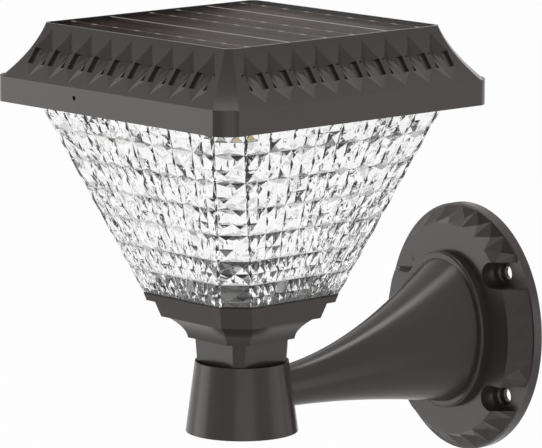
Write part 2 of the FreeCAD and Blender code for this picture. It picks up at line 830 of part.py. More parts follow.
def skirt_outline(body, name, height):
    """The skirt's plan: four straight sides joined by shallow corner arcs."""
    sketch = body.newObject("Sketcher::SketchObject", name)
    attach(body, sketch, "XY_Plane", height)
    corners = cut_corner_square(skirt_half, s.skirt_corner)
    points = [Vector(x.number, y.number, 0) for x, y in corners]
    half_chord = s.skirt_corner / math.sqrt(2)
    radius = (half_chord * half_chord + s.skirt_corner_bulge * s.skirt_corner_bulge) / (
        s.skirt_corner_bulge * 2)
    count = len(points)
    for index, point in enumerate(points):
        following = points[(index + 1) % count]
        if index % 2:
            sketch.addGeometry(Part.LineSegment(point, following), False)
        else:
            middle = (point + following) / 2
            outward = Vector(middle.x, middle.y, 0).normalize() * s.skirt_corner_bulge.number
            sketch.addGeometry(Part.Arc(point, middle + outward, following), False)
    for index in range(count):
        following = (index + 1) % count
        sketch.addConstraint(Sketcher.Constraint("Coincident", index, 2, following, 1))
    for index, (x, y) in enumerate(corners):
        pin(sketch, index, 1, "X", x)
        pin(sketch, index, 1, "Y", y)
    for index in range(0, count, 2):
        rule = sketch.addConstraint(Sketcher.Constraint("Radius", index, radius.number))
        sketch.setExpression(f"Constraints[{rule}]", radius.text)
    return sketch


ROOF_STEPS = 4
roof_body = new_body("roof_outside")
square_loft(roof_body, "roof_flare", [roof_level(index / ROOF_STEPS) for index in range(ROOF_STEPS + 1)])
skirt_pad = roof_body.newObject("PartDesign::Pad", "roof_skirt")
skirt_pad.Profile = skirt_outline(roof_body, "roof_skirt_outline", skirt_bottom)
bind(skirt_pad, Length=s.skirt_height)
panel_half = roof_top_half - s.panel_rim
square_loft(roof_body, "roof_panel_recess", [(panel_floor, panel_half, s.roof_top_corner),
                                             (roof_top, panel_half, s.roof_top_corner)],
            "SubtractiveLoft")

# Moulded leaves: a row of pits on each side of the flare, each with a slot either side of its stem
LEAF_COUNT = 9
LEAF_CLEAR = 0.4


def flare_frame(drop):
    """Point, direction up the slope and outward direction of the front flare, below the roof's top."""
    share = 1 - drop.number / s.roof_height.number
    height, half, corner = roof_level(share)
    higher, narrower, corner = roof_level(share + 0.01)
    up = Vector(0, half.number - narrower.number, higher.number - height.number).normalize()
    return Vector(0, axis_y.number - half.number, height.number), up, up.cross(Vector(-1, 0, 0))


def flare_point(across, drop, depth=0):
    point, up, outward = flare_frame(drop)
    return point + Vector(across, 0, 0) - outward * depth


def leaf_pit(across):
    """A six-sided pit whose rim stands clear of the skin, joined with its two slots."""
    half = s.leaf_half_width.number
    depth = s.leaf_depth.number
    outline = [(0, s.leaf_tip_drop), (half, s.leaf_shoulder_drop), (half, s.leaf_waist_drop),
               (0, s.leaf_point_drop), (-half, s.leaf_waist_drop), (-half, s.leaf_shoulder_drop)]
    deepest = flare_point(across, s.leaf_shoulder_drop, depth)
    rim = [deepest + (flare_point(across + x, drop) - deepest) * (1 + LEAF_CLEAR / depth)
           for x, drop in outline]
    lid = flare_point(across, (s.leaf_tip_drop + s.leaf_point_drop) / 2, -depth)
    pit = closed_solid(pyramid_sides(rim, deepest) + pyramid_sides(rim, lid))
    point, up, outward = flare_frame(s.leaf_waist_drop)
    length = (flare_point(0, s.leaf_shoulder_drop) - point).Length
    rotation = FreeCAD.Rotation(Vector(1, 0, 0), up + flare_frame(s.leaf_shoulder_drop)[1], outward, "XYZ")
    slots = []
    for left in (-half, s.leaf_stem_half.number):
        slot = Part.makeBox(half - s.leaf_stem_half.number, length, depth + s.leaf_slot_depth.number)
        slot.translate(Vector(0, 0, -s.leaf_slot_depth.number))
        slot.Placement = FreeCAD.Placement(point + Vector(across + left, 0, 0), rotation) * slot.Placement
        slots.append(slot)
    return pit.fuse(slots)


def leaf_rows():
    """The row of pits on the front, and its three turned copies."""
    first = -s.leaf_pitch.number * (LEAF_COUNT - 1) / 2
    row = Part.makeCompound([leaf_pit(first + s.leaf_pitch.number * index) for index in range(LEAF_COUNT)])
    rows = []
    for quarter in range(4):
        rows.append(row.copy())
        rows[-1].rotate(Vector(0, axis_y.number, 0), Vector(0, 0, 1), 90 * quarter)
    return Part.makeCompound(rows)


roof_carved = cut("roof_carved", roof_body, [feature("leaf_pits", leaf_rows())])

inside_body = new_body("roof_inside")
skirt_inner = skirt_half - s.roof_wall
skirt_inner_corner = inner_corner(s.skirt_corner, s.roof_wall)
square_loft(inside_body, "inside_skirt", [(skirt_bottom, skirt_inner, skirt_inner_corner),
                                          (skirt_top, skirt_inner, skirt_inner_corner)])
shelf_share = 1 - (s.panel_recess + s.panel_shelf) / s.roof_height
inside_levels = [roof_level(shelf_share * (index / ROOF_STEPS), s.flare_wall)
                 for index in range(ROOF_STEPS + 1)]
square_loft(inside_body, "inside_flare", inside_levels)
window = s.panel_window
square_loft(inside_body, "inside_window", [(skirt_top, window / 2, 1), (panel_floor, window / 2, 1)])

cap_screw_reach = s.lens_top_half + s.cap_screw_head_r + s.cap_screw_gap
cap_screw_places = []
for side in (-1, 1):
    for offset in (-s.cap_screw_offset, s.cap_screw_offset):
        cap_screw_places.append((cap_screw_reach * side, axis_y + offset))
        cap_screw_places.append((offset, axis_y + cap_screw_reach * side))
boss_r = s.cap_screw_r + s.boss_wall
boss_solids = []
for index, (x, y) in enumerate(cap_screw_places):
    boss_solids.append(cylinder(f"cap_boss{index}", boss_r, s.boss_height, x, y, tray_top))
inside = cut("roof_inside_tool", inside_body, boss_solids)
roof_cuts = [inside]
for index, (x, y) in enumerate(cap_screw_places):
    roof_cuts.append(cylinder(f"cap_pilot{index}", s.cap_screw_r + s.thread_gap,
                              s.cap_screw_length - s.tray_thickness, x, y, tray_top))
pinhole_z = skirt_top - s.pinhole_drop
pinhole_y = axis_y - skirt_half
roof_cuts.append(cylinder("pinhole", s.pinhole_r, s.roof_wall * 2, s.pinhole_x,
                          pinhole_y - s.roof_wall / 2, pinhole_z, ALONG_Y))
roof_shell = cut("roof_shell", roof_carved, roof_cuts)

# Light pipe behind the pinhole
status_pipe = fuse("status_pipe", [
    cylinder("status_pipe_tip", s.pinhole_r - s.thread_gap, s.roof_wall - s.pipe_recess,
             s.pinhole_x, pinhole_y + s.pipe_recess, pinhole_z, ALONG_Y),
    cylinder("status_pipe_head", s.pipe_head_r, s.pipe_head, s.pinhole_x, pinhole_y + s.roof_wall,
             pinhole_z, ALONG_Y),
])

# Cap tray: the plate that closes the roof from below, with a rib that centres the lens
tray_body = new_body("tray_plate")
tray_half = skirt_inner - s.slip_gap
tray_corner = inner_corner(skirt_inner_corner, s.slip_gap)
square_loft(tray_body, "tray_slab", [(tray_bottom, tray_half, tray_corner),
                                     (tray_top, tray_half, tray_corner)])
rib_bottom = tray_bottom - s.tray_rib_height
lens_slope = (s.lens_top_half - s.lens_bottom_half) / s.lens_height
rib_half = s.lens_top_half - s.lens_wall - lens_slope * (lens_top - rib_bottom) - s.slip_gap
rib_corner = inner_corner(lens_inner_corner, s.slip_gap * 2)
square_loft(tray_body, "tray_rib", [(rib_bottom, rib_half, rib_corner),
                                    (tray_bottom, rib_half, rib_corner)])
rib_inner = rib_half - s.tray_rib_wall
rib_inner_corner = inner_corner(rib_corner, s.tray_rib_wall)
square_loft(tray_body, "tray_well", [(rib_bottom, rib_inner, rib_inner_corner),
                                     (tray_bottom, rib_inner, rib_inner_corner)],
            "SubtractiveLoft")
board_y = axis_y + s.board_front
standoff_x = s.board_length / 2 - s.standoff_r - 1
standoff_y = s.board_width / 2 - s.standoff_r - 1
standoffs = [(x, board_y + y) for x in (-standoff_x, standoff_x) for y in (-standoff_y, standoff_y)]
tray_solids = [tray_body]
for index, (x, y) in enumerate(standoffs):
    tray_solids.append(cylinder(f"tray_standoff{index}", s.standoff_r, s.standoff_height, x, y,
                                tray_top))
tray_cuts = []
for index, (x, y) in enumerate(standoffs):
    tray_cuts.append(cylinder(f"tray_standoff_pilot{index}", s.small_screw_r + s.thread_gap,
                              s.standoff_height, x, y, tray_top))
for index, (x, y) in enumerate(cap_screw_places):
    tray_cuts.append(cylinder(f"tray_screw_hole{index}", s.cap_screw_r + s.slip_gap / 2,
                              s.tray_thickness, x, y, tray_bottom))
button_y = axis_y - s.lens_top_half - s.button_r - s.button_offset
tray_cuts.append(cylinder("tray_button_hole", s.button_r + s.button_gap, s.tray_thickness,
                          0, button_y, tray_bottom))
led_corner = s.led_board_half - s.standoff_r
led_screw_places = [(x, axis_y + y) for x in (-led_corner, led_corner)
                    for y in (-led_corner, led_corner)]
for index, (x, y) in enumerate(led_screw_places):
    tray_cuts.append(cylinder(f"tray_led_pilot{index}", s.small_screw_r + s.thread_gap,
                              s.tray_thickness, x, y, tray_bottom))
cap_tray = cut("cap_tray", fuse("tray_solid", tray_solids), tray_cuts)

# Seal in the corner between tray and skirt, relieved where a boss or the switch stands against it
cavity_r = s.button_flange_r + s.button_gap
switch_y = button_y + s.switch_depth / 2 - cavity_r - s.switch_wall
seal_ring = square_ring("tray_seal_ring", tray_half, tray_half - s.edge_seal_width, tray_top,
                        s.edge_seal_height, tray_corner,
                        inner_corner(tray_corner, s.edge_seal_width))
seal_cuts = [box("tray_seal_relief", s.switch_width + s.slip_gap * 2, s.switch_depth + s.slip_gap * 2,
                 s.edge_seal_height, 0, switch_y, tray_top)]
for index, (x, y) in enumerate(cap_screw_places):
    seal_cuts.append(cylinder(f"tray_seal_relief{index}", boss_r + s.slip_gap, s.edge_seal_height,
                              x, y, tray_top))
tray_seal = cut("tray_seal", seal_ring, seal_cuts)


# Screws
def screws_up(name, places, seat, shank_r, length, head_r, head):
    """Screws driven upwards: the head hangs below seat, the shank goes up from it."""
    solids = []
    for index, (x, y) in enumerate(places):
        solids.append(fuse(f"{name}{index}", [
            cylinder(f"{name}{index}_shank", shank_r, length, x, y, seat),
            cylinder(f"{name}{index}_head", head_r, head, x, y, seat - head)]))
    return group(name, solids)


screws_up("tray_screws", cap_screw_places, tray_bottom, s.cap_screw_r, s.cap_screw_length,
          s.cap_screw_head_r, s.cap_screw_head)
led_board_bottom = tray_bottom - s.led_board_thickness
screws_up("led_screws", led_screw_places, led_board_bottom, s.small_screw_r,
          s.led_board_thickness + s.tray_thickness, s.small_screw_head_r, s.small_screw_head)
board_bottom = tray_top + s.standoff_height
board_top = board_bottom + s.board_thickness
board_screw_solids = []
for index, (x, y) in enumerate(standoffs):
    board_screw_solids.append(fuse(f"board_screw{index}", [
        cylinder(f"board_screw{index}_shank", s.small_screw_r, s.small_screw_length, x, y,
                 board_top - s.small_screw_length),
        cylinder(f"board_screw{index}_head", s.small_screw_head_r, s.small_screw_head, x, y,
                 board_top)]))
board_screws = group("board_screws", board_screw_solids)

# Reflector and light board below the tray
reflector_half = rib_inner - s.slip_gap
reflector_blank = new_body("reflector_blank")
reflector_corner = inner_corner(rib_inner_corner, rib_inner - reflector_half)
square_loft(reflector_blank, "reflector_slab", [
    (tray_bottom - s.reflector_thickness, reflector_half, reflector_corner),
    (tray_bottom, reflector_half, reflector_corner)])
reflector = cut("reflector", reflector_blank, [
    box("reflector_window", (s.led_board_half + s.slip_gap) * 2, (s.led_board_half + s.slip_gap) * 2,
        s.reflector_thickness, 0, axis_y, tray_bottom - s.reflector_thickness)])
led_board = cut("led_board", box("led_board_blank", s.led_board_half * 2, s.led_board_half * 2,
                                 s.led_board_thickness, 0, axis_y, led_board_bottom), [
    cylinder(f"led_board_hole{index}", s.small_screw_r + s.thread_gap, s.led_board_thickness, x, y,
             led_board_bottom) for index, (x, y) in enumerate(led_screw_places)])
LED_ROWS = 5
led_solids = []
for row in range(LED_ROWS):
    for column in range(LED_ROWS):
        x = s.led_pitch * (column - (LED_ROWS - 1) / 2)
        y = axis_y + s.led_pitch * (row - (LED_ROWS - 1) / 2)
        led_solids.append(box(f"led_{row}_{column}", s.led_length, s.led_width, s.led_height,
                              x, y, led_board_bottom - s.led_height))
leds = group("leds", led_solids)

# Control board with its parts
control_board = cut("control_board", box("control_board_blank", s.board_length, s.board_width,
                                         s.board_thickness, 0, board_y, board_bottom), [
    cylinder(f"board_hole{index}", s.small_screw_r + s.thread_gap, s.board_thickness, x, y,
             board_bottom) for index, (x, y) in enumerate(standoffs)])
board_boxes = {
    "chip": {"length": 10, "width": 6, "height": 1.6, "x": -4, "y": 2},
    "coil": {"length": 7, "width": 7, "height": 4, "x": 12, "y": -6},
    "socket_panel": {"length": 8, "width": 5, "height": 6, "x": -10, "y": 15},
    "socket_battery": {"length": 8, "width": 5, "height": 6, "x": 4, "y": 15},
    "socket_light": {"length": 8, "width": 5, "height": 6, "x": -10, "y": -14},
}
board_cans = {
    "capacitor_large": {"radius": 4, "height": 8, "x": -18, "y": 2},
    "capacitor_small": {"radius": 3, "height": 6, "x": 20, "y": 7},
}
board_part_solids = []
for name, part in board_boxes.items():
    board_part_solids.append(box(f"board_{name}", part["length"], part["width"], part["height"],
                                 part["x"], board_y + part["y"], board_top))
for name, part in board_cans.items():
    board_part_solids.append(cylinder(f"board_{name}", part["radius"], part["height"],
                                      part["x"], board_y + part["y"], board_top))
board_parts = group("board_parts", board_part_solids)

# Battery in its cradle
battery_y = axis_y + s.battery_back
battery_z = tray_top + s.holder_wall + s.battery_r
holder_length = s.battery_length + (s.holder_end_gap + s.holder_wall) * 2
ALONG_X = FreeCAD.Rotation(Vector(0, 1, 0), 90)
battery_holder = cut("battery_holder", box(
    "holder_blank", holder_length, (s.battery_r + s.holder_wall) * 2, s.battery_r + s.holder_wall,
    0, battery_y, tray_top), [
    cylinder("holder_trough", s.battery_r + s.slip_gap / 10, s.battery_length + s.holder_end_gap * 2,
             -s.battery_length / 2 - s.holder_end_gap, battery_y, battery_z, ALONG_X)])
battery_cell = fuse("battery_cell", [
    cylinder("battery_can", s.battery_r, s.battery_length, -s.battery_length / 2, battery_y,
             battery_z, ALONG_X),
    cylinder("battery_tip", s.battery_r / 3, s.holder_end_gap, s.battery_length / 2, battery_y,
             battery_z, ALONG_X)])

# Push switch: a hollow body on the tray and the button that hangs through the tray
cavity_height = s.button_flange + s.button_travel + s.button_gap
switch_body = cut("switch_body", box("switch_blank", s.switch_width, s.switch_depth, s.switch_height,
                                     0, switch_y, tray_top), [
    cylinder("switch_cavity", cavity_r, cavity_height, 0, button_y, tray_top)])
power_button = fuse("power_button", [
    cylinder("button_stem", s.button_r, s.button_proud + s.tray_thickness + s.button_flange,
             0, button_y, tray_bottom - s.button_proud),
    cylinder("button_flange_disc", s.button_flange_r, s.button_flange, 0, button_y, tray_top)])

# Solar panel: backsheet, three strips of cells, ribbons and glass
panel_half_fit = panel_half - s.slip_gap / 2
panel_corner = s.roof_top_corner
backsheet = new_body("solar_backsheet")
square_loft(backsheet, "backsheet_slab", [
    (panel_floor, panel_half_fit, panel_corner),
    (panel_floor + s.backsheet_thickness, panel_half_fit, panel_corner)])
cell_bottom = panel_floor + s.backsheet_thickness
cell_top = cell_bottom + s.cell_thickness
cell_half = panel_half_fit - s.cell_margin
strip_edges = [-cell_half, s.cell_line_front, s.cell_line_back, cell_half]
strips = []
for index in range(3):
    low = strip_edges[index] + (s.cell_gap / 2 if index else 0)
    high = strip_edges[index + 1] - (s.cell_gap / 2 if index < 2 else 0)
    strips.append(box(f"cell_strip{index}", cell_half * 2, high - low, s.cell_thickness,
                      0, axis_y + (low + high) / 2, cell_bottom))
solar_cells = group("solar_cells", strips)
ribbon_places = [s.ribbon_front, s.ribbon_mid_front, s.ribbon_mid_back, s.ribbon_back]
ribbons = [box(f"ribbon{index}", cell_half * 2, s.ribbon_width, s.ribbon_thickness,
               0, axis_y + place, cell_top) for index, place in enumerate(ribbon_places)]
cell_ribbons = group("cell_ribbons", ribbons)
glass = new_body("solar_glass")
glass_bottom = cell_top + s.ribbon_thickness
square_loft(glass, "glass_slab", [(glass_bottom, panel_half_fit, panel_corner),
                                  (roof_top - s.glass_sunk, panel_half_fit, panel_corner)])

doc.recompute()

nodes = [
    "wall_plate", "bracket_arm", "arm_screws", "socket_cup", "cup_screw",
    "neck_plug", "base_pan", "base_hub", "neck_bolt", "neck_nut", "foot_seal_ring", "foot_reflector",
    "lens",
    "lens_rim_seal", "roof_shell", "status_pipe", "cap_tray", "tray_seal", "tray_screws",
    "reflector", "led_board", "leds", "led_screws", "control_board", "board_parts", "board_screws",
    "battery_holder", "battery_cell", "switch_body", "power_button", "solar_backsheet",
    "solar_cells", "cell_ribbons", "solar_glass",
]

# Checks, then one file for each node
for thing in doc.Objects:
    for state in ("Invalid", "Error"):
        if state in thing.State:
            raise RuntimeError(f"{thing.Name} is {state}")
os.makedirs("parts", exist_ok=True)
for name in nodes:
    thing = doc.getObject(name)
    thing.Label = name
    shape = thing.Shape
    if shape.isNull() or not shape.isValid() or not shape.Solids:
        raise RuntimeError(f"{name} has no valid solid")
for name in nodes:
    doc.getObject(name).Shape.exportStep(os.path.join("parts", name + ".step"))
    solids = doc.getObject(name).Shape.Solids
    print(f"{name}: {len(solids)} solids, {sum(solid.Volume for solid in solids):.1f} mm3")
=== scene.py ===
import math

import bmesh
import bpy
from mathutils import Matrix, Vector, noise


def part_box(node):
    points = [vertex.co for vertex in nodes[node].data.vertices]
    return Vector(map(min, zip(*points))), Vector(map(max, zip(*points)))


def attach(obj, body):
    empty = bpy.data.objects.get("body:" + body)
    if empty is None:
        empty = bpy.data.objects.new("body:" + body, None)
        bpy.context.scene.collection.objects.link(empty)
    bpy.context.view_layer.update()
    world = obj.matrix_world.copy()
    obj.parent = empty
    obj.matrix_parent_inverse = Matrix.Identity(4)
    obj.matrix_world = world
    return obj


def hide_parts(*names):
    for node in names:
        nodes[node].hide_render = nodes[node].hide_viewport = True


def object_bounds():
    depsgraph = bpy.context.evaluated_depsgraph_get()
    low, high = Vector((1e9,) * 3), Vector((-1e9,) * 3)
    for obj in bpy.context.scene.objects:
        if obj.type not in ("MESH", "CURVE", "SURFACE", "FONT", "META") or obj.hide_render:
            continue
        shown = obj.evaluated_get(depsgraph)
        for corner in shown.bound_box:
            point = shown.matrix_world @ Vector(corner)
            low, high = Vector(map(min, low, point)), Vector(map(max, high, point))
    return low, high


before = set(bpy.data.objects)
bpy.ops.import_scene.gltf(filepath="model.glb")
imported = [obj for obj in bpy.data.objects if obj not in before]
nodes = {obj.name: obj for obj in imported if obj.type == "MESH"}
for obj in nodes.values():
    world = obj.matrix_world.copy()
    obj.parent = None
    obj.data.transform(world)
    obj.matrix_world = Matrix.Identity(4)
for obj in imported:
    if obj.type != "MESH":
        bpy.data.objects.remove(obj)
cad_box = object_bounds()

# Camera: a long lens on the lamp's front right, a little above the eave, as in the photograph.
# The photograph is a crop, so its optical axis lies left of the middle of the picture.
PICTURE_WIDTH = 542
PICTURE_HEIGHT = 448
focal_pixels = 4850.3
axis_pixel = Vector((260.87, 224.56))
azimuth = math.radians(48.39)
elevation = math.radians(9.56)
distance = 2.25
aim = Vector((0.00588, -0.14038, 0.06579))
towards_camera = Vector((math.sin(azimuth) * math.cos(elevation),
                         -math.cos(azimuth) * math.cos(elevation),
                         math.sin(elevation)))
camera = bpy.data.objects.new("camera", bpy.data.cameras.new("camera"))
bpy.context.collection.objects.link(camera)
camera.location = aim + towards_camera * distance
camera.rotation_euler = towards_camera.to_track_quat("Z", "Y").to_euler()
camera.data.sensor_width = 36
camera.data.lens = focal_pixels * camera.data.sensor_width / PICTURE_WIDTH
camera.data.shift_x = (PICTURE_WIDTH / 2 - axis_pixel.x) / PICTURE_WIDTH
camera.data.shift_y = (axis_pixel.y - PICTURE_HEIGHT / 2) / PICTURE_WIDTH
camera.data.clip_end = 60
bpy.context.scene.camera = camera
bpy.context.scene.view_settings.view_transform = "Standard"

# Studio: a pale floor far below the bracket, a soft grey world, and four soft lamps.
# The camera, gloss and glass see the background white; the floor still takes a soft shadow,
# and is clear from underneath, so that the light's underside can be looked at.
world_light = 0.22
backdrop_white = 1.0
floor_drop = 0.5
floor_size = 30
floor_grey = 0.8
floor_glow = 0.98
lamp_aim = Vector((0, -0.12, 0.06))


def seen_directly(tree):
    """1 for rays that show the background: from the camera, off gloss or through glass."""
    path = tree.nodes.new("ShaderNodeLightPath")
    total = path.outputs["Is Camera Ray"]
    for name in ("Is Glossy Ray", "Is Transmission Ray"):
        add = tree.nodes.new("ShaderNodeMath")
        add.operation = "MAXIMUM"
        tree.links.new(total, add.inputs[0])
        tree.links.new(path.outputs[name], add.inputs[1])
        total = add.outputs[0]
    return total


world = bpy.data.worlds.new("studio")
bpy.context.scene.world = world
world.use_nodes = True
tree = world.node_tree
backdrop = tree.nodes["Background"]
backdrop.inputs["Color"].default_value = (1, 1, 1, 1)
strength = tree.nodes.new("ShaderNodeMapRange")
strength.inputs["To Min"].default_value = world_light
strength.inputs["To Max"].default_value = backdrop_white
tree.links.new(seen_directly(tree), strength.inputs["Value"])
tree.links.new(strength.outputs["Result"], backdrop.inputs["Strength"])

bm = bmesh.new()
bmesh.ops.create_grid(bm, x_segments=1, y_segments=1, size=floor_size / 2)
bmesh.ops.translate(bm, verts=bm.verts, vec=(0, 0, cad_box[0][2] - floor_drop))
floor_mesh = bpy.data.meshes.new("floor")
bm.to_mesh(floor_mesh)
bm.free()
floor = bpy.data.objects.new("floor", floor_mesh)
bpy.context.collection.objects.link(floor)
pale_floor = bpy.data.materials.new("pale_floor")
floor_mesh.materials.append(pale_floor)
pale_floor.use_nodes = True
tree = pale_floor.node_tree
tree.nodes.clear()
matte = tree.nodes.new("ShaderNodeBsdfDiffuse")
matte.inputs["Color"].default_value = (floor_grey, floor_grey, floor_grey, 1)
glow = tree.nodes.new("ShaderNodeEmission")
mix = tree.nodes.new("ShaderNodeMixShader")
share = tree.nodes.new("ShaderNodeMapRange")
share.inputs["To Max"].default_value = floor_glow
tree.links.new(seen_directly(tree), share.inputs["Value"])
tree.links.new(share.outputs["Result"], mix.inputs["Fac"])
tree.links.new(matte.outputs[0], mix.inputs[1])
tree.links.new(glow.outputs[0], mix.inputs[2])
side = tree.nodes.new("ShaderNodeNewGeometry")
clear = tree.nodes.new("ShaderNodeBsdfTransparent")
from_below = tree.nodes.new("ShaderNodeMixShader")
tree.links.new(side.outputs["Backfacing"], from_below.inputs["Fac"])
tree.links.new(mix.outputs[0], from_below.inputs[1])
tree.links.new(clear.outputs[0], from_below.inputs[2])
output = tree.nodes.new("ShaderNodeOutputMaterial")
tree.links.new(from_below.outputs[0], output.inputs["Surface"])


def soft_lamp(name, place, width, height, power):
    """A soft rectangular lamp that faces the middle of the light."""
    lamp = bpy.data.objects.new(name, bpy.data.lights.new(name, "AREA"))
    bpy.context.collection.objects.link(lamp)
    lamp.data.shape = "RECTANGLE"
    lamp.data.size = width
    lamp.data.size_y = height
    lamp.data.energy = power
    lamp.location = place
    facing = Vector(place) - lamp_aim
    lamp.rotation_euler = facing.to_track_quat("Z", "Y").to_euler()


soft_lamp("key_lamp", place=(-1.4, -1.35, -0.1), width=1.1, height=1.1, power=8)
soft_lamp("side_lamp", place=(1.35, 1.05, -0.1), width=1.0, height=1.0, power=2.6)
soft_lamp("top_strip_lamp", place=(-0.05, 0.25, 1.5), width=0.45, height=1.0, power=9)
soft_lamp("front_lamp", place=(2.15, -1.6, -0.2), width=2.0, height=1.2, power=9)

# Dark card: a black board that stands upright behind the light, tilted in its own plane.
# Only gloss sees it: the left and back of the solar panel mirror it, as in the photograph.
card_width = 0.6
card_height = 0.3
card_tilt = math.radians(-23.3)
card_distance = 1.2
card_shift = -0.088
above_panel = Vector((0, -0.147, 0.169))
away_from_camera = Vector((-math.sin(azimuth), math.cos(azimuth), 0))
across_view = Vector((math.cos(azimuth), math.sin(azimuth), 0))
card_middle = above_panel + away_from_camera * card_distance + across_view * card_shift
bm = bmesh.new()
bmesh.ops.create_grid(bm, x_segments=1, y_segments=1, size=0.5)
bmesh.ops.scale(bm, verts=bm.verts, vec=(card_width, card_height, 1))
for angle, about in ((card_tilt, "Z"), (math.pi / 2, "X"), (azimuth, "Z")):
    bmesh.ops.rotate(bm, verts=bm.verts, matrix=Matrix.Rotation(angle, 3, about))
bmesh.ops.translate(bm, verts=bm.verts, vec=card_middle)
card_mesh = bpy.data.meshes.new("dark_card")
bm.to_mesh(card_mesh)
bm.free()
dark_card = bpy.data.objects.new("dark_card", card_mesh)
bpy.context.collection.objects.link(dark_card)
dark_card.visible_camera = False
dark_card.visible_diffuse = False
dark_card.visible_transmission = False
dark_card.visible_shadow = False
card_black = bpy.data.materials.new("card_black")
card_mesh.materials.append(card_black)
card_black.use_nodes = True
shader = card_black.node_tree.nodes["Principled BSDF"]
shader.inputs["Base Color"].default_value = (0.02, 0.019, 0.018, 1)

# Housing: plate, arm, cup, neck, pan, hub, roof and tray are moulded in one dark plastic.
# Its skin is slightly glossy, with a fine spark-eroded grain and a faintly uneven shine.
noise_low = 0.3
noise_high = 0.7


def tree_and_shader(material):
    """The node tree of a new material, and the shader in it."""
    material.use_nodes = True
    return material.node_tree, material.node_tree.nodes["Principled BSDF"]


def dressed(name, *node_names):
    """A new material, worn by the named CAD nodes."""
    material = bpy.data.materials.new(name)
    for node_name in node_names:
        mesh = nodes[node_name].data
        mesh.materials.clear()
        mesh.materials.append(material)
    return material


def skin_texture(tree, scale):
    """A soft noise over the piece, which mostly keeps between noise_low and noise_high."""
    place = tree.nodes.new("ShaderNodeTexCoord")
    texture = tree.nodes.new("ShaderNodeTexNoise")
    texture.inputs["Scale"].default_value = scale
    tree.links.new(place.outputs["Object"], texture.inputs["Vector"])
    return texture.outputs["Fac"]


def mottled_colour(tree, shader, scale, low, high):
    """Let the colour drift between two tints over the surface."""
    drift = tree.nodes.new("ShaderNodeValToRGB")
    drift.color_ramp.elements[0].position = noise_low
    drift.color_ramp.elements[1].position = noise_high
    drift.color_ramp.elements[0].color = (*low, 1)
    drift.color_ramp.elements[1].color = (*high, 1)
    tree.links.new(skin_texture(tree, scale), drift.inputs["Fac"])
    tree.links.new(drift.outputs["Color"], shader.inputs["Base Color"])


def mottled_gloss(tree, shader, scale, low, high):
    """Let the roughness drift between two values over the surface."""
    drift = tree.nodes.new("ShaderNodeMapRange")
    drift.inputs["From Min"].default_value = noise_low
    drift.inputs["From Max"].default_value = noise_high
    drift.inputs["To Min"].default_value = low
    drift.inputs["To Max"].default_value = high
    tree.links.new(skin_texture(tree, scale), drift.inputs["Value"])
    tree.links.new(drift.outputs["Result"], shader.inputs["Roughness"])


def grained(tree, shader, scale, depth):
    """Give the whole surface a fine bump."""
    bump = tree.nodes.new("ShaderNodeBump")
    bump.inputs["Distance"].default_value = depth
    bump.inputs["Strength"].default_value = 0.5
    tree.links.new(skin_texture(tree, scale), bump.inputs["Height"])
    tree.links.new(bump.outputs["Normal"], shader.inputs["Normal"])


housing = dressed("housing_plastic", "wall_plate", "bracket_arm", "socket_cup", "neck_plug",
                  "base_pan", "base_hub", "roof_shell", "cap_tray")
tree, shader = tree_and_shader(housing)
mottled_colour(tree, shader, scale=30, low=(0.062, 0.0495, 0.046), high=(0.069, 0.056, 0.0525))
mottled_gloss(tree, shader, scale=18, low=0.22, high=0.28)
shader.inputs["Specular IOR Level"].default_value = 0.3
grained(tree, shader, scale=1400, depth=0.00003)

# Vent floors: small plastic pads, two in each leaf of the roof, pressed into the carved slots
# from outside until they stand a little below the skin. One row is made on the front and turned
# about the lamp's axis on to the other three sides.
leaf_count = 9
leaf_pitch = 0.0142
vent_middle = 0.0045
vent_size = (0.0033, 0.0083, 0.0017)
vent_rounding = 0.0002
vent_foot = Vector((0, -0.217858, 0.143618))
skin_outwards = 0.807
skin_upwards = 0.591
vent_lean = math.atan2(skin_outwards, skin_upwards)
lamp_axis = Vector((0, (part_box("lens")[0].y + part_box("lens")[1].y) / 2, 0))
bm = bmesh.new()
for leaf in range(leaf_count):
    for side in (-1, 1):
        pad = bmesh.ops.create_cube(bm, size=1)["verts"]
        bmesh.ops.scale(bm, verts=pad, vec=vent_size)
        bmesh.ops.translate(bm, verts=pad, vec=(0, 0, vent_size[2] / 2))
        bmesh.ops.rotate(bm, verts=pad, matrix=Matrix.Rotation(vent_lean, 3, "X"))
        across = (leaf - (leaf_count - 1) / 2) * leaf_pitch + side * vent_middle
        bmesh.ops.translate(bm, verts=pad, vec=vent_foot + Vector((across, 0, 0)))
bmesh.ops.bevel(bm, geom=bm.edges, affect="EDGES", offset=vent_rounding, segments=2, profile=0.5,
                material=-1)
front_row = list(bm.verts) + list(bm.edges) + list(bm.faces)
for quarter in range(1, 4):
    row = bmesh.ops.duplicate(bm, geom=front_row)["geom"]
    row_verts = [item for item in row if isinstance(item, bmesh.types.BMVert)]
    turn = Matrix.Rotation(math.pi / 2 * quarter, 3, "Z")
    bmesh.ops.rotate(bm, verts=row_verts, cent=lamp_axis, matrix=turn)
vent_mesh = bpy.data.meshes.new("vent_floors")
bm.to_mesh(vent_mesh)
bm.free()
vent_mesh.materials.append(housing)
vent_floors = bpy.data.objects.new("vent_floors", vent_mesh)
bpy.context.collection.objects.link(vent_floors)
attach(vent_floors, "cap")

# Screws: zinc-plated steel. They hold arm, cup, tray, light board and control board, and on the
# lamp's axis a bolt and a nut clamp hub, pan and neck.
screw_steel = dressed("zinc_screws", "arm_screws", "cup_screw", "neck_bolt", "neck_nut",
                      "tray_screws", "led_screws", "board_screws")
tree, shader = tree_and_shader(screw_steel)
shader.inputs["Metallic"].default_value = 1
mottled_colour(tree, shader, scale=220, low=(0.5, 0.5, 0.5), high=(0.62, 0.61, 0.59))
mottled_gloss(tree, shader, scale=300, low=0.28, high=0.42)
grained(tree, shader, scale=2500, depth=0.00002)

